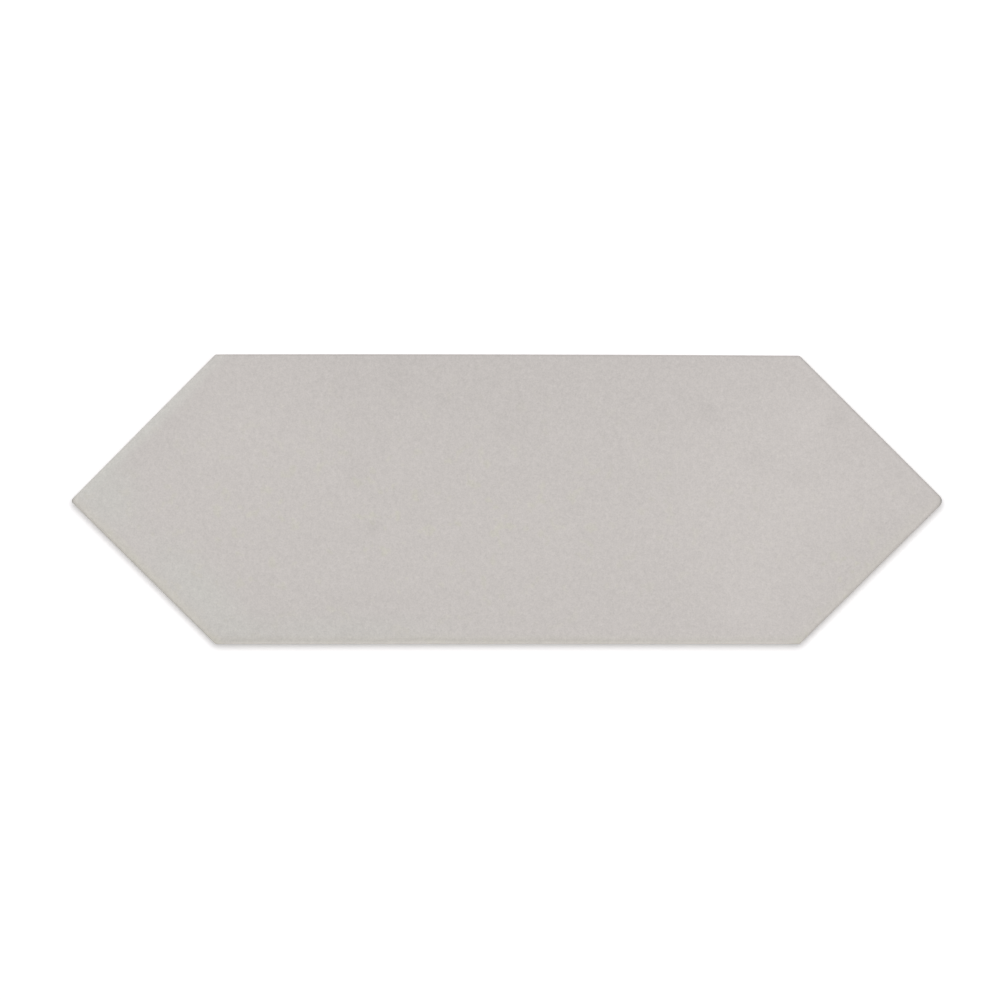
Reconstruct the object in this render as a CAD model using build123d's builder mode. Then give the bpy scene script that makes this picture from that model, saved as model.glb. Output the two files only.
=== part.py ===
from build123d import *
import math
import os

# A picket tile: one dry-pressed and fired porcelain piece, a long hexagon that ends in two
# points. It lies on its back, face up. X runs along it, Y across it and Z up, and the origin
# is under the middle of the tile, on the plane of the back. All sizes are in millimetres.

# The fired tile
overall_length = 300.0  # from blunted point to blunted point
tile_width = 100.0  # between the two long edges
tile_thickness = 8.5  # from the plane of the back to the face
point_angle = 90.0  # between the two slanted edges of a point, in degrees

# Corners of the flat face. The rounded arris runs round them at an even width, so the corners
# of the side wall are rounder by that width.
left_point_radius = 0.1
right_point_radius = 1.4
shoulder_radius = 0.15  # where a long edge turns into a slanted one

# Section of the edge, from the face down to the back
arris_radius = 1.0  # rounds the face over into the side
draft_height = 3.2  # above the back, where the upright side starts to draw in
side_draft = 4.0  # degrees from upright
back_bevel = 0.5  # takes the sharp edge off the back

# Keyed back: a row of round-ended recesses across the tile, which leave ribs between them
back_border = 5.0  # plain land from the bevel to the nearest recess
recess_width = 5.2
rib_width = 2.4
recess_depth = 0.6
recess_draft = 25.0  # slope of a recess's wall, in degrees from upright
shortest_recess = 12.0  # a point too narrow for this stays plain

# The outline of the side wall
half_angle = math.radians(point_angle / 2)
point_length = tile_width / 2 / math.tan(half_angle)


def blunting(corner_radius):
    """How far a round of this radius stops short of the point where the slanted edges meet."""
    return corner_radius * (1 / math.sin(half_angle) - 1)


left_tip = -overall_length / 2 - blunting(left_point_radius + arris_radius)
right_tip = overall_length / 2 + blunting(right_point_radius + arris_radius)

# How far the lower side draws in from the upright one, down to the back
drawn_in = draft_height * math.tan(math.radians(side_draft))

# Where the recesses end: the centre of each round end keeps this distance from the outline
recess_clearance = drawn_in + back_bevel + back_border + recess_width / 2
recess_pitch = recess_width + rib_width


def recess_reach(x):
    """Half the distance between the two end centres of a recess across the tile at x."""
    to_tip = right_tip - x if x > 0 else x - left_tip
    below_long_edge = tile_width / 2 - recess_clearance
    below_slant = to_tip * math.tan(half_angle) - recess_clearance / math.cos(half_angle)
    return min(below_long_edge, below_slant)


recess_pairs = math.ceil(overall_length / 2 / recess_pitch)
recess_rows = [(index + 0.5) * recess_pitch for index in range(-recess_pairs, recess_pairs)]
recesses = [x for x in recess_rows if 2 * recess_reach(x) + recess_width >= shortest_recess]

with BuildPart() as picket_tile:
    # The outline, upright from the back to the face
    with BuildSketch() as outline:
        with BuildLine():
            Polyline(
                (left_tip, 0),
                (left_tip + point_length, tile_width / 2),
                (right_tip - point_length, tile_width / 2),
                (right_tip, 0),
                (right_tip - point_length, -tile_width / 2),
                (left_tip + point_length, -tile_width / 2),
                close=True,
            )
        make_face()
        fillet(outline.vertices().sort_by(Axis.X)[1:-1], shoulder_radius + arris_radius)
        fillet(outline.vertices().sort_by(Axis.X)[0], left_point_radius + arris_radius)
        fillet(outline.vertices().sort_by(Axis.X)[-1], right_point_radius + arris_radius)
    extrude(amount=tile_thickness)

    # Arris rounded over from the face into the side
    fillet(picket_tile.faces().sort_by(Axis.Z)[-1].edges(), arris_radius)

    # Lower side, drawn in towards the back so that a joint opens under the face
    back = picket_tile.faces().sort_by(Axis.Z)[0]
    chamfer(back.edges(), drawn_in, draft_height, reference=back)
    chamfer(picket_tile.faces().sort_by(Axis.Z)[0].edges(), back_bevel)

    # Recesses that the bed of adhesive keys into
    with BuildSketch():
        for x in recesses:
            with Locations((x, 0)):
                SlotCenterToCenter(2 * recess_reach(x), recess_width, rotation=90)
    extrude(amount=recess_depth, taper=recess_draft, mode=Mode.SUBTRACT)

picket_tile.part.label = "picket_tile"
os.makedirs("parts", exist_ok=True)
export_step(picket_tile.part, "parts/picket_tile.step")
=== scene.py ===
import math

import bmesh
import bpy
import numpy as np
from bpy.props import FloatProperty, FloatVectorProperty, IntProperty, PointerProperty
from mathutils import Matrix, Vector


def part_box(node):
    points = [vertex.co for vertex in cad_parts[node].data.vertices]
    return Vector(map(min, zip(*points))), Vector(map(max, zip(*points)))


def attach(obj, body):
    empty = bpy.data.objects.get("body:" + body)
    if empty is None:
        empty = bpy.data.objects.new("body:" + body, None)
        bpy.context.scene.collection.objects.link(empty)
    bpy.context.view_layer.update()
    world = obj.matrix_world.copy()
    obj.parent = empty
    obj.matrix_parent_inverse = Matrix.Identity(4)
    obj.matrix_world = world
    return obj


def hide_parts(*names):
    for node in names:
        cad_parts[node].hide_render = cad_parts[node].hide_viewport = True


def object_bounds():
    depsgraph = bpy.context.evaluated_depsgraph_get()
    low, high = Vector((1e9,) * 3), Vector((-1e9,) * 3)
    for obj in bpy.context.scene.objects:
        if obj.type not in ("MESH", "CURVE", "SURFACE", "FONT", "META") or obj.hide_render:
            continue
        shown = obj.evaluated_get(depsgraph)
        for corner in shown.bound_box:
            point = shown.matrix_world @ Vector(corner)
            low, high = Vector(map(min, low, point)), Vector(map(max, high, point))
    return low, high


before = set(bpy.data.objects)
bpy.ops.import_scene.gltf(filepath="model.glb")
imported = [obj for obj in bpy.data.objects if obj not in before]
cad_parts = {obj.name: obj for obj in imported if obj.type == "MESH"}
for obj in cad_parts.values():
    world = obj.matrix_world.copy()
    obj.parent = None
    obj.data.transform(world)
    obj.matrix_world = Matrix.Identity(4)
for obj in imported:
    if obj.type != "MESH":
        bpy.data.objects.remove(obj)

bl_info = {
    "name": "Picket tile",
    "version": (1, 0, 0),
    "blender": (4, 5, 0),
    "location": "3D View > Sidebar > Tile",
    "description": "Makes a matt porcelain picket tile with a keyed back, and a plain studio round it",
    "category": "Add Mesh",
}

# The object is one fired piece, and these are its node in the frame, its body and its finish
NODE = "picket_tile"
BODY = "root"
SLOT = "matt_porcelain"

CAD_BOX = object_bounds()
LOW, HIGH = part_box(NODE)
MM = 0.001
PICTURE_SIDE_PX = 1000


def linear(colour):
    """An sRGB hex value such as "#C7C2BE" as linear red, green, blue and an alpha of 1."""
    channels = [int(colour[place : place + 2], 16) / 255 for place in (1, 3, 5)]
    return [c / 12.92 if c <= 0.04045 else ((c + 0.055) / 1.055) ** 2.4 for c in channels] + [1.0]


def size_of(name, millimetres, description):
    """A length in the sidebar, given in millimetres and kept in metres."""
    return FloatProperty(
        name=name,
        description=description,
        default=millimetres * MM,
        min=0.0,
        precision=5,
        unit="LENGTH",
        subtype="DISTANCE",
    )


def angle_of(name, degrees, description):
    """An angle in the sidebar, given in degrees and kept in radians."""
    return FloatProperty(
        name=name, description=description, default=math.radians(degrees), unit="ROTATION", subtype="ANGLE"
    )


def colour_of(name, colour, description):
    """A colour in the sidebar, given as an sRGB hex value and kept linear."""
    return FloatVectorProperty(
        name=name,
        description=description,
        default=linear(colour),
        size=4,
        min=0.0,
        max=1.0,
        subtype="COLOR",
    )


class TileSizes(bpy.types.PropertyGroup):
    """The pressed shape. The overall sizes come from the frame, the rest are the part's own."""

    length: size_of("Length", (HIGH[0] - LOW[0]) / MM, "From blunted point to blunted point")
    width: size_of("Width", (HIGH[1] - LOW[1]) / MM, "Between the two long edges")
    thickness: size_of("Thickness", (HIGH[2] - LOW[2]) / MM, "From the plane of the back to the face")
    point_angle: angle_of("Point angle", 90.0, "Between the two slanted edges of a point")
    left_radius: size_of("Left point radius", 0.1, "Corner of the flat face at the -X point")
    right_radius: size_of("Right point radius", 1.4, "Corner of the flat face at the +X point")
    shoulder_radius: size_of("Shoulder radius", 0.15, "Corner of the flat face beside a long edge")
    arris_radius: size_of("Arris radius", 1.0, "Rounds the face over into the side")
    draft_height: size_of("Draft height", 3.2, "Where the upright side starts to draw in")
    side_draft: angle_of("Side draft", 4.0, "Slope of the lower side from upright")
    back_bevel: size_of("Back bevel", 0.5, "Takes the sharp edge off the back")
    back_border: size_of("Back border", 5.0, "Plain land from the bevel to the nearest recess")
    recess_width: size_of("Recess width", 5.2, "Across a recess of the keyed back")
    rib_width: size_of("Rib width", 2.4, "Between two recesses")
    recess_depth: size_of("Recess depth", 0.6, "From the land to a recess's floor")
    recess_draft: angle_of("Recess draft", 25.0, "Slope of a recess's wall from upright")
    shortest_recess: size_of("Shortest recess", 12.0, "A point too narrow for this stays plain")
    edge_ease: size_of("Edge ease", 0.18, "How far back from a pressed corner its rounding starts")
    left_sag: size_of("Left sag", 0.54, "How far the -X point has sagged towards -Y in the kiln")
    right_sag: size_of("Right sag", 0.25, "How far the +X point has sagged towards -Y in the kiln")
    taper: size_of("Taper", 0.45, "How much narrower the +X end of the long edges is")
    far_bow: size_of("Far bow", 0.2, "How far the +Y long edge has bowed out in the kiln")
    near_bow: size_of("Near bow", 0.1, "How far the -Y long edge has bowed in in the kiln")
    face_ripple: size_of("Face ripple", 0.05, "Height of the face's gentle waves")
    mesh_step: size_of("Mesh step", 0.6, "Spacing of the mesh along the outline")
    face_rows: IntProperty(name="Face rows", description="Mesh rows across the face", default=58, min=8)


class TileFinish(bpy.types.PropertyGroup):
    """The matt finish of the face and the bare porcelain under it."""

    face: colour_of("Face", "#C2BCB9", "The matt finish, evened out over the face")
    cool: colour_of("Cool cast", "#C2C0BB", "The finish where it has fired a little cooler")
    warm: colour_of("Warm cast", "#C2BEB5", "The finish where it has fired a little warmer")
    clay: colour_of("Bare porcelain", "#CFC7BB", "The pressed body where no finish reaches")
    dust: colour_of("Kiln wash", "#DEDAD2", "The pale powder left on the back's ribs")
    roughness: FloatProperty(
        name="Roughness", description="Of the matt finish", default=0.62, min=0.0, max=1.0, subtype="FACTOR"
    )
    grain_contrast: FloatProperty(
        name="Grain contrast", description="Strength of the fine cement-like grain", default=1.0, min=0.0
    )
    bare_roughness: FloatProperty(
        name="Bare roughness",
        description="Of the bare porcelain",
        default=0.88,
        min=0.0,
        max=1.0,
        subtype="FACTOR",
    )
    relief: size_of("Relief", 0.01, "Height of the finish's grain")
    bare_relief: size_of("Bare relief", 0.05, "Height of the bare porcelain's grain")
    granule: size_of("Granule", 0.45, "Width of a pressed granule of the body")
    finish_drop: size_of("Finish drop", 2.6, "How far the finish runs down the side from the face")


class StudioSizes(bpy.types.PropertyGroup):
    """A camera straight above the tile, one soft lamp and an even dome of light."""

    camera_height: size_of("Camera height", 3000.0, "Above the floor")
    picture_width: size_of("Picture width", 344.8, "What the picture spans at the tile's widest outline")
    centre_x_px: FloatProperty(
        name="Tile centre X", description="In the picture", default=506.8, subtype="PIXEL"
    )
    centre_y_px: FloatProperty(
        name="Tile centre Y", description="In the picture", default=499.25, subtype="PIXEL"
    )
    key_share: FloatProperty(
        name="Key share",
        description="Share of the light that comes from the lamp, the rest comes from the dome",
        default=0.6,
        min=0.0,
        max=1.0,
        subtype="FACTOR",
    )
    key_distance: size_of("Key distance", 1500.0, "From the tile to the lamp")
    key_width: size_of("Key width", 690.0, "Across the round lamp")
    key_lean: angle_of("Key lean", 8.0, "Of the lamp from upright, towards +Y")
    floor_side: size_of("Floor side", 6000.0, "Side of the square floor")
    shadow_reach: size_of("Shadow reach", 350.0, "How far from its centre the tile's shade shows")
    floor: colour_of("Floor", "#E8E8E8", "The floor as it lights the tile")
    floor_seen: colour_of("Floor as seen", "#FEFDFF", "The floor as the camera sees it, near the tile")
    floor_lift: FloatProperty(
        name="Floor lift",
        description="Light of its own that the camera sees on the floor, so that it turns white",
        default=0.15,
        min=0.0,
    )


# Broad clouds of the face: centre x and y, half sizes, turn in degrees and depth. A cloud has faded to half
# at its half size. The depth is in steps of 1/255 of the sRGB scale, positive where the face is lighter.
# Most are clouds in the finish itself, and the narrow lighter band along the -X +Y edge is a painted
# highlight.
CLOUDS_MM = (
    (-115.0, 0.0, 34.0, 34.0, 0, 0.4),
    (-36.7, 42.0, 3.6, 8.0, 0, -2.4),
    (-55.6, 43.0, 4.5, 8.0, 0, -0.8),
    (-48.0, 45.0, 14.0, 9.0, 0, -0.9),
    (-6.0, 44.0, 56.0, 18.0, -2, -2.4),
    (0.0, 54.0, 110.0, 24.0, 0, -1.8),
    (2.9, 25.7, 8.0, 5.5, 0, -1.8),
    (0.0, 6.0, 34.0, 14.0, 0, -0.8),
    (20.0, 8.5, 4.0, 3.5, 0, -0.5),
    (36.4, 10.2, 3.0, 3.0, 0, -1.0),
    (-51.2, 8.8, 4.0, 3.2, 0, -2.2),
    (-50.0, 18.0, 7.0, 11.0, 0, -1.6),
    (-46.0, -9.4, 2.4, 2.4, 0, -4.9),
    (-121.0, 20.5, 18.0, 4.0, 45, -1.6),
    (-118.0, -17.0, 4.0, 3.0, -30, -0.9),
    (-57.0, -47.0, 2.2, 2.4, 0, -3.6),
    (-51.0, -46.4, 2.6, 2.6, 0, -1.6),
    (-54.0, -41.0, 22.0, 8.0, 0, -2.0),
    (-89.0, -49.0, 12.0, 2.0, 0, -4.5),
    (-88.0, -44.0, 12.0, 4.0, 0, -1.4),
    (-5.0, -48.7, 70.0, 0.7, 0, -5.0),
    (68.4, 30.9, 4.6, 2.8, -35, -4.0),
    (85.6, 13.7, 4.2, 3.4, 0, -3.6),
    (102.9, 7.8, 6.0, 2.4, 0, -2.4),
    (113.2, 27.5, 3.6, 4.6, 0, -3.0),
    (104.6, 27.0, 8.0, 8.0, 0, 3.4),
    (86.0, -9.0, 22.0, 34.0, 0, 3.5),
    (83.9, -38.0, 7.0, 8.0, 0, 2.3),
    (119.0, 2.0, 18.0, 12.0, 0, 2.4),
    (-128.0, -13.0, 14.0, 4.0, -45, 1.6),
    (-141.0, -1.0, 8.0, 8.0, 0, 0.3),
    # A painted highlight: a narrow lighter band along the -X +Y edge
    (-124.0, 24.0, 38.0, 1.6, 45, 4.0),
    (-88.0, 24.0, 17.0, 13.0, 0, 1.0),
    (-104.0, 0.0, 14.0, 10.0, 0, 0.6),
)

# Where the finish has a cooler cast, in the same form, with the share of the cast as the last number
COOL_CLOUDS_MM = (
    (0.0, 0.0, 220.0, 220.0, 0, 0.12),
    (-138.0, 1.0, 9.0, 10.0, 0, 0.7),
    (-106.0, -32.0, 19.0, 7.0, -45, 0.7),
    (-62.0, -46.0, 34.0, 5.0, 0, 0.45),
    (-124.0, 25.0, 38.0, 2.4, 45, 0.8),
)

# Where it has a warmer one, along the three lower edges
WARM_CLOUDS_MM = (
    (-124.0, -25.5, 38.0, 1.8, -45, 0.9),
    (0.0, -49.0, 130.0, 1.6, 0, 0.6),
    (124.0, -25.5, 38.0, 2.0, 45, 0.5),
)

# And where small warm flecks are strewn over it, with the share of them that show as the last number
FLECKED_MM = (
    (-40.0, -8.0, 95.0, 34.0, 0, 1.0),
    (118.0, -26.0, 30.0, 11.0, 45, 0.9),
)
FLECK_MM = 4.5
FLECK_FROM, FLECK_FULL = 0.58, 0.7
CLOUD_DRIFT_MM = 1.5

# The finish's grain, as (width in mm, strength in the same steps)
GRAIN_MM = ((0.22, 13.0), (0.55, 27.0), (1.4, 17.0), (3.5, 5.2), (9.0, 2.6), (30.0, 1.5))

# Painted light and shade along each edge, as how much lighter it is painted in the same steps, where the
# arris leaves the face and most of the way across the arris: +Y, -Y, and the slanted edges at -X +Y, +X +Y,
# -X -Y and +X -Y. Positive steps are painted light and negative ones painted shade. At the two points, -X
# and then +X, it is painted darker, as painted shade.
RIM_PAINTED_SHADING = (-0.5, 0.0, 0.0, 2.0, 2.0, 2.0)
RIM_REACH_MM = 1.4
ARRIS_PAINTED_SHADING = (3.0, 42.0, 18.0, -5.0, 10.0, 9.0)
PAINTED_PEAK_WAY = 0.94
CORNER_BLEND_MM = 4.0
POINT_PAINTED_SHADE = (-22.0, -36.0)
POINT_REACH_MM = 2.2
EDGE_SHADING_ATTRIBUTE = "edge_painted_shading"

# The share of the light that one such step is at the face's level
STEP_SHARE = 0.0113

# How the noise of the finish lies: the width of the bends in the clouds' edges, and a turn in radians that
# keeps the noise's lattice planes off the face
DRIFT_BEND_MM = 16.0
GRAIN_TURN = (0.61, 0.43, 0.27)

# The bare body: how strong its granules are, and the streaks down its side, in the same steps. A streak's
# pattern is stretched along the height, of which it sees only this share.
GRANULE_STEPS = 26.0
STREAK_STEPS = 14.0
STREAK_MM = 1.1
STREAK_HEIGHT_SHARE = 0.04

# Kiln wash on the back: the width of its patches, where the noise starts to hold powder and holds most, how
# thick the powder is there, and the heights between which it gives way above the land
WASH_PATCH_MM = 6.0
WASH_FROM, WASH_FULL = 0.38, 0.6
WASH_SHARE = 0.9
WASH_FULL_BELOW_MM, WASH_GONE_ABOVE_MM = 0.02, 0.14

# The ragged line where the finish ends: the width of its bends, how far they go up and down together, and
# how far the finish takes to reach its full cover
LINE_BEND_MM = 8.0
LINE_SWING_MM = 3.0
LINE_FADE_MM = 0.12

# The length of the face's waves, and the angle from which a fold of the mesh shows as an edge, in degrees
WAVE_MM = 48.0
SHARP_FROM = 35

# The floor lies this far under the tile, so that the two don't share a plane, and the camera sees this far,
# in metres
FLOOR_GAP_MM = 0.02
SIGHT = 20.0


def eased(profile, back, steps=4):
    """A profile whose corners are rounded: each inner corner p gives way to the parabola that leaves the
    line `back` before p and joins the next line `back` after it, (1-t)^2 a + 2t(1-t) p + t^2 b."""
    profile = np.asarray(profile, float)
    t = np.linspace(0.0, 1.0, steps + 1)[:, None]
    pieces = [profile[:1]]
    for before, corner, after in zip(profile[:-2], profile[1:-1], profile[2:]):
        towards = (before - corner) / np.linalg.norm(before - corner)
        onwards = (after - corner) / np.linalg.norm(after - corner)
        start = corner + back * towards
        end = corner + back * onwards
        pieces.append((1 - t) ** 2 * start + 2 * t * (1 - t) * corner + t**2 * end)
    pieces.append(profile[-1:])
    return np.concatenate(pieces)


def half_outline(sizes, arc_steps=7):
    """The flat face's outline from the -X point over the +Y side to the +X point, and its outward normals.

    Each corner is centre + radius * normal, with the normal turning at an even rate, and each edge is a
    straight run between two corners. An outline s further out is point + s * normal."""
    half_angle = sizes.point_angle / 2
    sine, cosine = math.sin(half_angle), math.cos(half_angle)
    reach = sizes.length / 2
    left, right, shoulder = (
        radius + sizes.arris_radius
        for radius in (sizes.left_radius, sizes.right_radius, sizes.shoulder_radius)
    )
    shoulder_y = sizes.width / 2 - shoulder
    shoulder_run = (shoulder + shoulder_y * cosine) / sine
    centres = (
        (left - reach, 0.0),
        (left - reach - left / sine + shoulder_run, shoulder_y),
        (reach - right + right / sine - shoulder_run, shoulder_y),
        (reach - right, 0.0),
    )
    radii = (sizes.left_radius, sizes.shoulder_radius, sizes.shoulder_radius, sizes.right_radius)
    upright = math.pi / 2
    turns = (
        (math.pi, upright + half_angle),
        (upright + half_angle, upright),
        (upright, upright - half_angle),
        (upright - half_angle, 0.0),
    )
    points, normals = [], []
    for centre, radius, (first, last) in zip(centres, radii, turns):
        angles = np.linspace(first, last, arc_steps + 1)
        normal = np.stack([np.cos(angles), np.sin(angles)], axis=1)
        corner = np.asarray(centre) + radius * normal
        if points:
            run = corner[0] - points[-1][-1]
            steps = max(1, round(float(np.linalg.norm(run)) / sizes.mesh_step))
            along = np.linspace(0.0, 1.0, steps + 1)[1:-1, None]
            points.append(points[-1][-1] + along * run)
            normals.append(np.repeat(normal[:1], steps - 1, axis=0))
        points.append(corner)
        normals.append(normal)
    points, normals = np.concatenate(points), np.concatenate(normals)
    points[[0, -1], 1] = 0.0
    normals[[0, -1], 1] = 0.0
    return points, normals


def at_height(plane_points, z):
    """Points of a plane, with the height z added as their third number."""
    return np.concatenate([plane_points, np.full(plane_points.shape[:-1] + (1,), z)], axis=-1)


def across(upper, rows, z):
    """A flat sheet between a chain of points and its mirror image: (x, t * y, z), t from 1 to -1."""
    t = np.linspace(1.0, -1.0, rows + 1)[:, None, None]
    return at_height(upper[None] * np.concatenate([np.ones_like(t), t], axis=-1), z)


def closed_ring(upper):
    """A chain of points on the +Y side, closed by its mirror image on the -Y side."""
    return np.concatenate([upper, upper[::-1][1:] * [1.0, -1.0]])


def edge_sheet(sizes, points, normals, arris_steps=9):
    """The edge: a profile of (way out, height) carried round the outline, which gives
    point + way out * normal at that height. It rounds over the arris, drops down the upright side, draws in
    towards the back, and ends past the bevel, a little way in on the land."""
    radius, top = sizes.arris_radius, sizes.thickness
    turn = np.linspace(0.0, math.pi / 2, arris_steps + 1)
    arris = np.stack([radius * np.sin(turn), top - radius + radius * np.cos(turn)], axis=1)
    slope = math.tan(sizes.side_draft)
    bevel_top = radius - (sizes.draft_height - sizes.back_bevel) * slope
    bevel_foot = radius - sizes.draft_height * slope - sizes.back_bevel
    land_start = bevel_foot - 1.5 * sizes.edge_ease
    side = eased(
        [
            arris[-1],
            (radius, sizes.draft_height),
            (bevel_top, sizes.back_bevel),
            (bevel_foot, 0.0),
            (land_start, 0.0),
        ],
        sizes.edge_ease,
    )
    profile = np.concatenate([arris, side[1:]])
    ring, ring_normal = closed_ring(points), closed_ring(normals)
    sheets = [at_height(ring + way_out * ring_normal, height) for way_out, height in profile]
    return np.stack(sheets), points + profile[-1, 0] * normals


def stadium(x, reach, radius, end_steps, side_steps):
    """The round-ended outline of a recess: two half circles about (x, reach) and (x, -reach), joined by
    straight sides. It starts at the left end of the +Y half circle and goes round over +Y."""
    angles = np.linspace(math.pi, 0.0, end_steps + 1)
    sides = np.linspace(reach, -reach, side_steps + 1)
    top = np.stack([x + radius * np.cos(angles), reach + radius * np.sin(angles)], axis=1)
    right = np.stack([np.full_like(sides, x + radius), sides], axis=1)
    bottom = np.stack([x - radius * np.cos(angles), -reach - radius * np.sin(angles)], axis=1)
    left = np.stack([np.full_like(sides, x - radius), -sides], axis=1)
    return np.concatenate([top, right[1:], bottom[1:], left[1:]])


def back_sheets(sizes, rim, side_steps=22):
    """The keyed back as sheets. Each recess has a strip of the land from rib to rib, whose own outline
    blends into the recess's round-ended one and then follows its wall and floor in to the centre line.
    The two ends of the back, past the outermost ribs, are flat."""
    half_angle = sizes.point_angle / 2
    blunting = 1 / math.sin(half_angle) - 1
    left_tip = -sizes.length / 2 - (sizes.left_radius + sizes.arris_radius) * blunting
    right_tip = sizes.length / 2 + (sizes.right_radius + sizes.arris_radius) * blunting
    bevel_inset = sizes.draft_height * math.tan(sizes.side_draft) + sizes.back_bevel
    mouth = sizes.recess_width / 2
    clearance = bevel_inset + sizes.back_border + mouth
    pitch = sizes.recess_width + sizes.rib_width
    pairs = math.ceil(sizes.length / 2 / pitch)
    x = (np.arange(-pairs, pairs) + 0.5) * pitch
    to_tip = np.where(x > 0, right_tip - x, x - left_tip)
    reach = np.minimum(
        sizes.width / 2 - clearance, to_tip * math.tan(half_angle) - clearance / math.cos(half_angle)
    )
    kept = 2 * (reach + mouth) >= sizes.shortest_recess
    x, reach = x[kept], reach[kept]

    ease, depth = sizes.edge_ease, sizes.recess_depth
    floor_radius = mouth - depth * math.tan(sizes.recess_draft)
    section = [(mouth + 2 * ease, 0.0), (mouth, 0.0), (floor_radius, depth), (floor_radius / 2, depth)]
    wall = eased(section, ease)
    wall = np.concatenate([wall, [(0.0, depth)]])

    rib_lines = np.append(x - pitch / 2, x[-1] + pitch / 2)
    columns = np.abs(rim[:, 0][None] - rib_lines[:, None]).argmin(axis=1)
    sheets = [
        across(rim[: columns[0] + 1], side_steps, 0.0),
        across(rim[columns[-1] :], side_steps, 0.0),
    ]
    for centre, half_run, first, last in zip(x, reach, columns[:-1], columns[1:]):
        t = np.linspace(1.0, -1.0, side_steps + 1)[:, None]
        over = rim[first : last + 1]
        down = rim[last] * np.concatenate([np.ones_like(t), t], axis=1)
        up = rim[first] * np.concatenate([np.ones_like(t), -t], axis=1)
        strip = np.concatenate([over, down[1:], over[::-1][1:] * [1.0, -1.0], up[1:]])
        rings = [at_height(strip, 0.0)]
        for radius, height in wall:
            rings.append(at_height(stadium(centre, half_run, radius, last - first, side_steps), height))
        sheets.append(np.stack(rings))
    return sheets


def welded(sheets):
    """One list of vertices and one of faces for sheets that share their borders: points that agree to a
    millionth of a millimetre become one, and a face loses the corners that fall together."""
    loose, quads, start = [], [], 0
    for sheet in sheets:
        rows, columns = sheet.shape[:2]
        index = start + np.arange(rows * columns).reshape(rows, columns)
        corners = (index[:-1, :-1], index[:-1, 1:], index[1:, 1:], index[1:, :-1])
        quads.append(np.stack(corners, axis=-1).reshape(-1, 4))
        loose.append(sheet.reshape(-1, 3))
        start += rows * columns
    loose = np.concatenate(loose)
    keys = np.round(loose / (MM * 1e-6)).astype(np.int64)
    _, first, name = np.unique(keys, axis=0, return_index=True, return_inverse=True)
    quads = name.reshape(-1)[np.concatenate(quads)]
    same = quads == np.roll(quads, -1, axis=1)
    whole = quads[~same.any(axis=1)]
    folded = quads[same.sum(axis=1) == 1]
    cut = ~same[same.sum(axis=1) == 1]
    triangles = folded[cut].reshape(-1, 3)
    return loose[first], whole.tolist() + triangles.tolist()


def waves(places, wavelength, seed, count=9, gain=2.2):
    """Gentle ripples from -1 to 1: gain * the mean of sine waves of about this length, each with its own
    direction, length and phase. The gain makes them fill the range, and the few places past it are cut."""
    random = np.random.default_rng(seed)
    heading = random.uniform(0.0, 2 * math.pi, count)
    stretch = random.uniform(0.7, 1.5, count)
    phase = random.uniform(0.0, 2 * math.pi, count)
    rate = 2 * math.pi / (wavelength * stretch)
    along = places[:, :1] * np.cos(heading) + places[:, 1:2] * np.sin(heading)
    return np.clip(np.sin(along * rate + phase).mean(axis=1) * gain, -1.0, 1.0)


def fired(vertices, sizes):
    """The pressed shape after firing. The face sinks in shallow waves, more the higher a point is. The two
    points sag: y falls in a straight line from a shoulder to the tip. The way from the -X shoulder to the
    +X one is 0 to 1, and the arch over it 4 way (1 - way). With far = y / width + 1/2, the +Y side draws
    in by far * taper * way and bows out by far * bow * (arch - 1/4), and the -Y side bows in by
    (1 - far) * bow * arch."""
    x, y, z = vertices.T
    high = z / sizes.thickness
    sunk = 0.5 * sizes.face_ripple * (1 + waves(vertices, WAVE_MM * MM, seed=3)) * high**2
    half_length = sizes.length / 2
    shoulder = half_length - sizes.width / 2 / math.tan(sizes.point_angle / 2)
    past = np.clip((np.abs(x) - shoulder) / (half_length - shoulder), 0.0, 1.0)
    sag = past * np.where(x < 0, sizes.left_sag, sizes.right_sag)
    way = (x + shoulder) / (2 * shoulder)
    between = np.clip(way, 0.0, 1.0)
    arch = 4 * between * (1 - between)
    far = y / sizes.width + 0.5
    moved = far * (sizes.far_bow * (arch - 0.25) - sizes.taper * way) + (1 - far) * sizes.near_bow * arch
    return np.stack([x, y - sag + moved, z - sunk], axis=1)


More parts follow.
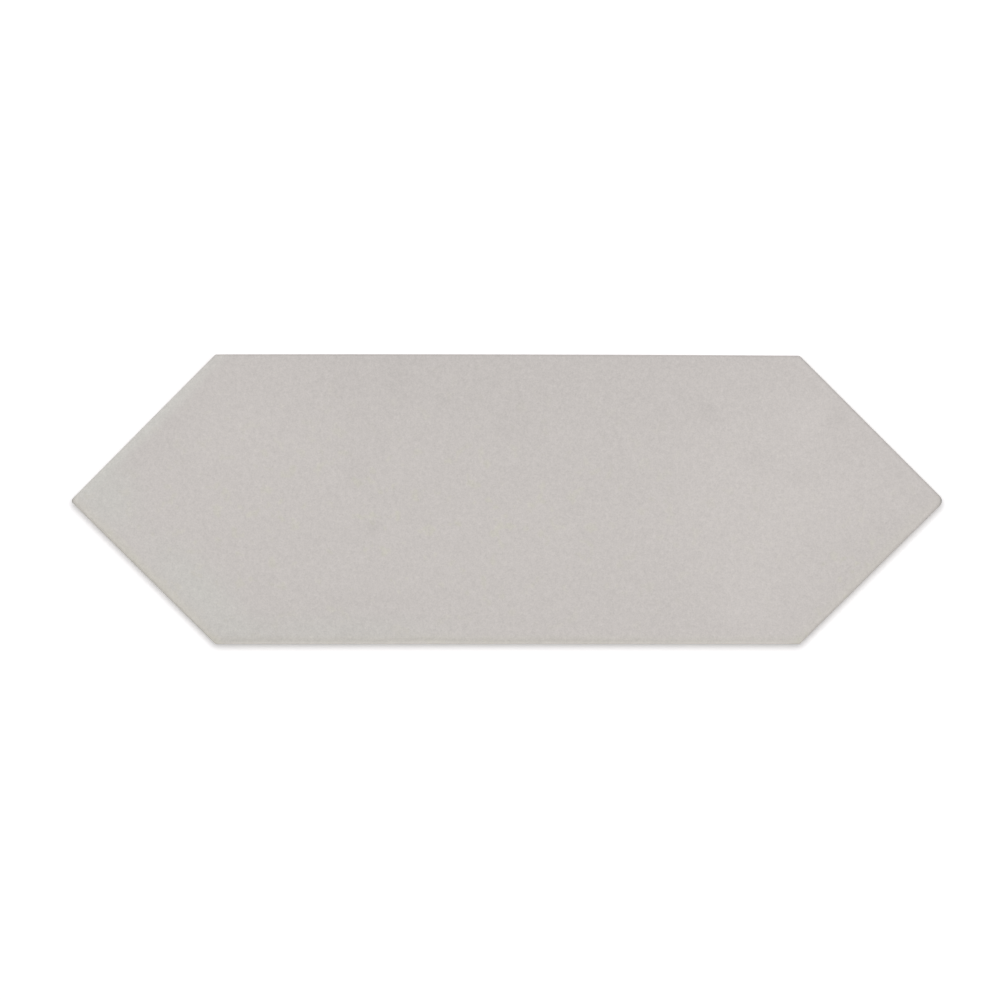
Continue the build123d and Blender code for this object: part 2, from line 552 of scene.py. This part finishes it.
def painted_edge_shading(vertices, sizes):
    """The painted light and shade along the edges: how much lighter each place is painted, in steps of
    1/255 of the sRGB scale. It goes from the rim's tone to the arris's in step with the way across the
    arris, which is sqrt(1 - (1 - way down)^2) on a round, and then back to nothing at the upright side. On
    the face the rim's tone fades out. The tones are those of the nearest edge, blended with the next one's
    where both are about as near, and near a point the arris has the point's painted shade.
    near a point the arris has the point's tone."""
    x, y, z = vertices.T
    half_angle = sizes.point_angle / 2
    sine, cosine = math.sin(half_angle), math.cos(half_angle)
    slant = sizes.length / 2 * sine
    outward = np.stack(
        [
            y - sizes.width / 2,
            -y - sizes.width / 2,
            y * cosine - x * sine - slant,
            y * cosine + x * sine - slant,
            -y * cosine - x * sine - slant,
            -y * cosine + x * sine - slant,
        ]
    )
    order = outward.argsort(axis=0)
    nearest, next_one = order[-1], order[-2]
    outward.sort(axis=0)
    to_corner = np.clip((outward[-1] - outward[-2]) / (CORNER_BLEND_MM * MM), 0.0, 1.0)
    share = 0.5 + 0.5 * to_corner
    rim_tones, arris_tones = np.asarray(RIM_PAINTED_SHADING), np.asarray(ARRIS_PAINTED_SHADING)
    rim = share * rim_tones[nearest] + (1 - share) * rim_tones[next_one]
    arris = share * arris_tones[nearest] + (1 - share) * arris_tones[next_one]

    from_point = np.clip(np.hypot(np.abs(x) - sizes.length / 2, y) / (POINT_REACH_MM * MM), 0.0, 1.0)
    point_tone = np.where(x < 0, *POINT_PAINTED_SHADE)
    arris = point_tone + (arris - point_tone) * from_point
    inside = np.clip((-outward[-1] - sizes.arris_radius) / (RIM_REACH_MM * MM), 0.0, 1.0)
    rim = rim * from_point * (1 - inside)
    down = np.clip((sizes.thickness - z) / sizes.arris_radius, 0.0, 1.0)
    way = np.sqrt(1 - (1 - down) ** 2)
    tone = rim + (arris - rim) * np.clip(way / PAINTED_PEAK_WAY, 0.0, 1.0)
    return tone * np.clip((1 - way) / (1 - PAINTED_PEAK_WAY), 0.0, 1.0)


def tile_mesh(sizes):
    """The whole tile as one closed mesh: face, edge and keyed back, welded at their shared borders."""
    points, normals = half_outline(sizes)
    edge, rim = edge_sheet(sizes, points, normals)
    sheets = [across(points, sizes.face_rows, sizes.thickness), edge] + back_sheets(sizes, rim)
    vertices, faces = welded(sheets)
    mesh = bpy.data.meshes.new("fired_tile")
    mesh.from_pydata(fired(vertices, sizes), [], faces)
    # The painted light and shade of the edges, kept on the mesh for the finish to add
    tones = mesh.attributes.new(EDGE_SHADING_ATTRIBUTE, "FLOAT", "POINT")
    tones.data.foreach_set("value", painted_edge_shading(vertices, sizes).astype(np.float32))
    shell = bmesh.new()
    shell.from_mesh(mesh)
    bmesh.ops.recalc_face_normals(shell, faces=shell.faces)
    shell.to_mesh(mesh)
    shell.free()
    mesh.shade_smooth()
    mesh.set_sharp_from_angle(angle=math.radians(SHARP_FROM))
    return mesh


def add_node(tree, kind, inputs=(), **settings):
    """Adds a node of this kind with its settings, and gives each input named a value or a link."""
    node = tree.nodes.new(kind)
    for name, value in settings.items():
        setattr(node, name, value)
    for name, value in dict(inputs).items():
        if isinstance(value, bpy.types.NodeSocket):
            tree.links.new(value, node.inputs[name])
        else:
            node.inputs[name].default_value = value
    return node


def cloud_sum(tree, place, clouds):
    """The depths of all the clouds that reach a place, added up. A cloud is full in its middle and fades
    smoothly to nothing at twice its half size: depth * smoothstep(1 - distance in half sizes / 2)."""
    total = None
    for x, y, half_x, half_y, turn, depth in clouds:
        local = add_node(
            tree,
            "ShaderNodeMapping",
            {
                "Vector": place,
                "Location": (x * MM, y * MM, 0.0),
                "Rotation": (0.0, 0.0, math.radians(turn)),
                "Scale": (2 * half_x * MM, 2 * half_y * MM, 1.0),
            },
            vector_type="TEXTURE",
        )
        ball = add_node(
            tree, "ShaderNodeTexGradient", {"Vector": local.outputs[0]}, gradient_type="SPHERICAL"
        )
        cloud = add_node(
            tree,
            "ShaderNodeMapRange",
            {"Value": ball.outputs["Fac"], "To Max": depth},
            interpolation_type="SMOOTHSTEP",
        )
        total = add_node(
            tree,
            "ShaderNodeMath",
            {0: cloud.outputs[0], 1: total.outputs[0] if total else 0.0},
            operation="ADD",
        )
    return total


def matt_porcelain(finish, sizes):
    """Glazed porcelain with a matt, cement-look finish: a thin mineral spray fused to a dry-pressed body.
    To the eye it is a warm light grey with faint broad clouds and a fine even grain, and with no gloss.
    The finish thins out down the side, and the back is the bare body with kiln wash on its ribs."""
    material = bpy.data.materials.new(SLOT)
    material.use_nodes = True
    tree = material.node_tree
    tree.nodes.clear()
    place = add_node(tree, "ShaderNodeTexCoord").outputs["Object"]
    height = add_node(tree, "ShaderNodeSeparateXYZ", {0: place}).outputs["Z"]

    # The clouds' edges wander by a few millimetres
    drift = add_node(
        tree, "ShaderNodeTexNoise", {"Vector": place, "Scale": 1 / (DRIFT_BEND_MM * MM), "Detail": 2.0}
    )
    centred = add_node(
        tree, "ShaderNodeVectorMath", {0: drift.outputs["Color"], 1: [0.5] * 3}, operation="SUBTRACT"
    )
    wander = add_node(
        tree,
        "ShaderNodeVectorMath",
        {0: centred.outputs[0], 1: [2 * CLOUD_DRIFT_MM * MM] * 3, 2: place},
        operation="MULTIPLY_ADD",
    )

    tone = cloud_sum(tree, wander.outputs[0], CLOUDS_MM)

    # Even grain at several widths
    turned = add_node(tree, "ShaderNodeMapping", {"Vector": place, "Rotation": GRAIN_TURN})
    for width, strength in GRAIN_MM:
        noise = add_node(
            tree,
            "ShaderNodeTexNoise",
            {"Vector": turned.outputs[0], "Scale": 1 / (width * MM), "Detail": 2.0, "Roughness": 0.5},
        )
        centred = add_node(tree, "ShaderNodeMath", {0: noise.outputs["Fac"], 1: 0.5}, operation="SUBTRACT")
        tone = add_node(
            tree,
            "ShaderNodeMath",
            {0: centred.outputs[0], 1: strength * finish.grain_contrast, 2: tone.outputs[0]},
            operation="MULTIPLY_ADD",
        )
    # Painted light and shade along the edges, read from the mesh, lightens or darkens the finish
    arris = add_node(tree, "ShaderNodeAttribute", attribute_name=EDGE_SHADING_ATTRIBUTE)
    tone = add_node(tree, "ShaderNodeMath", {0: tone.outputs[0], 1: arris.outputs["Fac"]}, operation="ADD")
    gain = add_node(
        tree, "ShaderNodeMath", {0: tone.outputs[0], 1: STEP_SHARE, 2: 1.0}, operation="MULTIPLY_ADD"
    )

    cool = cloud_sum(tree, wander.outputs[0], COOL_CLOUDS_MM)
    cast = add_node(
        tree,
        "ShaderNodeMix",
        {0: cool.outputs[0], 6: list(finish.face), 7: list(finish.cool)},
        data_type="RGBA",
    )
    warm = cloud_sum(tree, wander.outputs[0], WARM_CLOUDS_MM)
    flecks = add_node(
        tree,
        "ShaderNodeTexNoise",
        {"Vector": turned.outputs[0], "Scale": 1 / (FLECK_MM * MM), "Detail": 2.0, "Roughness": 0.5},
    )
    flecks = add_node(
        tree,
        "ShaderNodeMapRange",
        {"Value": flecks.outputs["Fac"], "From Min": FLECK_FROM, "From Max": FLECK_FULL},
        interpolation_type="SMOOTHSTEP",
    )
    flecked = cloud_sum(tree, place, FLECKED_MM)
    warmth = add_node(
        tree,
        "ShaderNodeMath",
        {0: flecks.outputs[0], 1: flecked.outputs[0], 2: warm.outputs[0]},
        operation="MULTIPLY_ADD",
        use_clamp=True,
    )
    cast = add_node(
        tree,
        "ShaderNodeMix",
        {0: warmth.outputs[0], 6: cast.outputs[2], 7: list(finish.warm)},
        data_type="RGBA",
    )
    face = add_node(
        tree, "ShaderNodeVectorMath", {0: cast.outputs[2], 3: gain.outputs[0]}, operation="SCALE"
    )

    # Bare porcelain: pressed granules, and streaks down the side from its way out of the press
    granules = add_node(
        tree,
        "ShaderNodeTexNoise",
        {"Vector": place, "Scale": 1 / finish.granule, "Detail": 4.0, "Roughness": 0.65},
    )
    drawn_out = add_node(
        tree, "ShaderNodeVectorMath", {0: place, 1: (1.0, 1.0, STREAK_HEIGHT_SHARE)}, operation="MULTIPLY"
    )
    streaks = add_node(
        tree,
        "ShaderNodeTexNoise",
        {"Vector": drawn_out.outputs[0], "Scale": 1 / (STREAK_MM * MM), "Detail": 3.0, "Roughness": 0.6},
    )
    above_back = add_node(
        tree,
        "ShaderNodeMapRange",
        {
            "Value": height,
            "From Min": sizes.recess_depth,
            "From Max": 2 * sizes.recess_depth,
            "To Max": STREAK_STEPS,
        },
    )
    rough_tone = add_node(
        tree, "ShaderNodeMath", {0: granules.outputs["Fac"], 1: 0.5}, operation="SUBTRACT"
    )
    streak_tone = add_node(
        tree, "ShaderNodeMath", {0: streaks.outputs["Fac"], 1: 0.5}, operation="SUBTRACT"
    )
    streak_tone = add_node(
        tree, "ShaderNodeMath", {0: streak_tone.outputs[0], 1: above_back.outputs[0]}, operation="MULTIPLY"
    )
    rough_tone = add_node(
        tree,
        "ShaderNodeMath",
        {0: rough_tone.outputs[0], 1: GRANULE_STEPS, 2: streak_tone.outputs[0]},
        operation="MULTIPLY_ADD",
    )
    rough_gain = add_node(
        tree, "ShaderNodeMath", {0: rough_tone.outputs[0], 1: STEP_SHARE, 2: 1.0}, operation="MULTIPLY_ADD"
    )

    # Kiln wash: patches of powder where the back has stood on the kiln's rollers
    patches = add_node(
        tree,
        "ShaderNodeTexNoise",
        {"Vector": place, "Scale": 1 / (WASH_PATCH_MM * MM), "Detail": 5.0, "Roughness": 0.65},
    )
    patches = add_node(
        tree,
        "ShaderNodeMapRange",
        {
            "Value": patches.outputs["Fac"],
            "From Min": WASH_FROM,
            "From Max": WASH_FULL,
            "To Max": WASH_SHARE,
        },
        interpolation_type="SMOOTHSTEP",
    )
    on_land = add_node(
        tree,
        "ShaderNodeMapRange",
        {"Value": height, "From Min": WASH_GONE_ABOVE_MM * MM, "From Max": WASH_FULL_BELOW_MM * MM},
    )
    powder = add_node(
        tree, "ShaderNodeMath", {0: patches.outputs[0], 1: on_land.outputs[0]}, operation="MULTIPLY"
    )
    body = add_node(
        tree,
        "ShaderNodeMix",
        {0: powder.outputs[0], 6: list(finish.clay), 7: list(finish.dust)},
        data_type="RGBA",
    )
    body = add_node(
        tree, "ShaderNodeVectorMath", {0: body.outputs[2], 3: rough_gain.outputs[0]}, operation="SCALE"
    )

    # The finish ends part of the way down the side in a ragged line
    ragged = add_node(
        tree,
        "ShaderNodeTexNoise",
        {"Vector": place, "Scale": 1 / (LINE_BEND_MM * MM), "Detail": 7.0, "Roughness": 0.72},
    )
    swing = LINE_SWING_MM * MM
    line = add_node(
        tree,
        "ShaderNodeMath",
        {0: ragged.outputs["Fac"], 1: swing, 2: sizes.thickness - finish.finish_drop - swing / 2},
        operation="MULTIPLY_ADD",
    )
    past_line = add_node(tree, "ShaderNodeMath", {0: height, 1: line.outputs[0]}, operation="SUBTRACT")
    finished = add_node(
        tree,
        "ShaderNodeMapRange",
        {"Value": past_line.outputs[0], "From Max": LINE_FADE_MM * MM},
        interpolation_type="SMOOTHSTEP",
    )
    colour = add_node(
        tree,
        "ShaderNodeMix",
        {0: finished.outputs[0], 6: body.outputs[0], 7: face.outputs[0]},
        data_type="RGBA",
    )
    roughness = add_node(
        tree,
        "ShaderNodeMapRange",
        {"Value": finished.outputs[0], "To Min": finish.bare_roughness, "To Max": finish.roughness},
    )

    # Both surfaces are rough to the touch, the bare one more than the finished one
    relief = add_node(
        tree,
        "ShaderNodeMapRange",
        {"Value": finished.outputs[0], "To Min": finish.bare_relief, "To Max": finish.relief},
    )
    bump = add_node(
        tree,
        "ShaderNodeBump",
        {"Height": granules.outputs["Fac"], "Distance": relief.outputs[0], "Strength": 1.0},
    )

    shader = add_node(
        tree,
        "ShaderNodeBsdfPrincipled",
        {
            "Base Color": colour.outputs[2],
            "Roughness": roughness.outputs[0],
            "IOR": 1.5,
            "Normal": bump.outputs[0],
        },
    )
    add_node(tree, "ShaderNodeOutputMaterial", {"Surface": shader.outputs[0]})
    return material


class TILE_OT_tile(bpy.types.Operator):
    """Makes the fired tile in place of the plain solid, with its matt porcelain finish"""

    bl_idname = "tile.make"
    bl_label = "Make the tile"

    def execute(self, context):
        sizes, finish = context.scene.tile_sizes, context.scene.tile_finish
        mesh = tile_mesh(sizes)
        mesh.materials.append(matt_porcelain(finish, sizes))
        tile = bpy.data.objects.new("fired_tile", mesh)
        context.scene.collection.objects.link(tile)
        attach(tile, BODY)
        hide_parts(NODE)
        return {"FINISHED"}


class TILE_OT_stage(bpy.types.Operator):
    """Sets up the pale floor, the soft lamp, the dome of light and the camera above the tile"""

    bl_idname = "tile.stage"
    bl_label = "Set up the studio"

    def execute(self, context):
        scene, studio = context.scene, context.scene.tile_studio
        scene.view_settings.view_transform = "Standard"
        add_floor(scene, studio)
        add_lights(scene, studio)
        add_camera(scene, studio, context.scene.tile_sizes)
        return {"FINISHED"}


def seen_directly(tree):
    """1 for the rays that show a thing itself, in the picture or mirrored in gloss or glass, or else 0."""
    rays = add_node(tree, "ShaderNodeLightPath")
    direct = add_node(
        tree,
        "ShaderNodeMath",
        {0: rays.outputs["Is Camera Ray"], 1: rays.outputs["Is Glossy Ray"]},
        operation="MAXIMUM",
    )
    direct = add_node(
        tree,
        "ShaderNodeMath",
        {0: direct.outputs[0], 1: rays.outputs["Is Transmission Ray"]},
        operation="MAXIMUM",
    )
    return direct.outputs[0]


def add_floor(scene, studio):
    """A plain square floor just under the tile. The camera sees it white, but for the tile's shadow, and
    further out it is white whatever the light."""
    half = studio.floor_side / 2
    level = CAD_BOX[0][2] - FLOOR_GAP_MM * MM
    mesh = bpy.data.meshes.new("floor")
    corners = [(-half, -half, level), (half, -half, level), (half, half, level), (-half, half, level)]
    mesh.from_pydata(corners, [], [(0, 1, 2, 3)])
    material = bpy.data.materials.new("pale_floor")
    material.use_nodes = True
    tree = material.node_tree
    tree.nodes.clear()
    plain = add_node(tree, "ShaderNodeBsdfDiffuse", {"Color": list(studio.floor)})
    white = add_node(tree, "ShaderNodeBsdfDiffuse", {"Color": list(studio.floor_seen)})
    lift = add_node(tree, "ShaderNodeEmission", {"Strength": studio.floor_lift})
    lifted = add_node(tree, "ShaderNodeAddShader", {0: white.outputs[0], 1: lift.outputs[0]})
    place = add_node(tree, "ShaderNodeTexCoord").outputs["Object"]
    away = add_node(tree, "ShaderNodeVectorMath", {0: place}, operation="LENGTH")
    far = add_node(
        tree,
        "ShaderNodeMapRange",
        {
            "Value": away.outputs["Value"],
            "From Min": studio.shadow_reach,
            "From Max": 2 * studio.shadow_reach,
        },
        interpolation_type="SMOOTHSTEP",
    )
    glow = add_node(tree, "ShaderNodeEmission", {"Strength": 1.0})
    seen = add_node(
        tree, "ShaderNodeMixShader", {0: far.outputs[0], 1: lifted.outputs[0], 2: glow.outputs[0]}
    )
    either = add_node(
        tree, "ShaderNodeMixShader", {0: seen_directly(tree), 1: plain.outputs[0], 2: seen.outputs[0]}
    )
    add_node(tree, "ShaderNodeOutputMaterial", {"Surface": either.outputs[0]})
    mesh.materials.append(material)
    floor = bpy.data.objects.new("floor", mesh)
    scene.collection.objects.link(floor)


def add_lights(scene, studio):
    """A round lamp and an even dome. Together they light a level surface so that a colour renders as
    it is written: the lamp gives its share and the dome the rest. A dome of strength 1 lights it by pi, and
    a lamp of power P by P * cos(lean) / (pi * distance^2)."""
    height = studio.key_distance * math.cos(studio.key_lean)
    away = studio.key_distance * math.sin(studio.key_lean)
    lamp = bpy.data.lights.new("key", "AREA")
    lamp.shape = "DISK"
    lamp.size = studio.key_width
    lamp.energy = studio.key_share * math.pi**2 * studio.key_distance**2 / math.cos(studio.key_lean)
    key = bpy.data.objects.new("key", lamp)
    key.location = (0.0, away, height)
    key.rotation_euler = (-studio.key_lean, 0.0, 0.0)
    scene.collection.objects.link(key)

    world = bpy.data.worlds.new("dome")
    world.use_nodes = True
    tree = world.node_tree
    tree.nodes.clear()
    dome = add_node(tree, "ShaderNodeBackground", {"Strength": 1.0 - studio.key_share})
    white = add_node(tree, "ShaderNodeBackground", {"Strength": 1.0, "Color": (1.0, 1.0, 1.0, 1.0)})
    dome.inputs["Color"].default_value = (1.0, 1.0, 1.0, 1.0)
    either = add_node(
        tree, "ShaderNodeMixShader", {0: seen_directly(tree), 1: dome.outputs[0], 2: white.outputs[0]}
    )
    add_node(tree, "ShaderNodeOutputWorld", {"Surface": either.outputs[0]})
    scene.world = world


def add_camera(scene, studio, sizes):
    """A long lens that looks straight down, with +Y at the top of the picture. It stands off the tile's
    centre by as much as the tile's centre stands off the picture's."""
    seen_from = studio.camera_height - (sizes.thickness - sizes.arris_radius)
    pixel = studio.picture_width / PICTURE_SIDE_PX
    camera = bpy.data.cameras.new("camera")
    camera.sensor_width = 36.0
    camera.lens = camera.sensor_width * seen_from / studio.picture_width
    camera.clip_end = SIGHT
    view = bpy.data.objects.new("camera", camera)
    view.location = (
        (PICTURE_SIDE_PX / 2 - studio.centre_x_px) * pixel,
        (studio.centre_y_px - PICTURE_SIDE_PX / 2) * pixel,
        studio.camera_height,
    )
    scene.collection.objects.link(view)
    scene.camera = view


class TILE_PT_panel(bpy.types.Panel):
    """The tile's sizes, finish and studio in the sidebar"""

    bl_idname = "TILE_PT_panel"
    bl_label = "Picket tile"
    bl_space_type = "VIEW_3D"
    bl_region_type = "UI"
    bl_category = "Tile"

    def draw(self, context):
        scene = context.scene
        for operator, group in (
            (TILE_OT_tile, scene.tile_sizes),
            (None, scene.tile_finish),
            (TILE_OT_stage, scene.tile_studio),
        ):
            box = self.layout.box()
            for name in group.__annotations__:
                box.prop(group, name)
            if operator:
                box.operator(operator.bl_idname)


CLASSES = (TileSizes, TileFinish, StudioSizes, TILE_OT_tile, TILE_OT_stage, TILE_PT_panel)


def register():
    for each in CLASSES:
        bpy.utils.register_class(each)
    bpy.types.Scene.tile_sizes = PointerProperty(type=TileSizes)
    bpy.types.Scene.tile_finish = PointerProperty(type=TileFinish)
    bpy.types.Scene.tile_studio = PointerProperty(type=StudioSizes)


def unregister():
    del bpy.types.Scene.tile_studio
    del bpy.types.Scene.tile_finish
    del bpy.types.Scene.tile_sizes
    for each in reversed(CLASSES):
        bpy.utils.unregister_class(each)


def main():
    """Makes the tile and its studio."""
    register()
    bpy.ops.tile.make()
    bpy.ops.tile.stage()


if __name__ == "__main__":
    main()
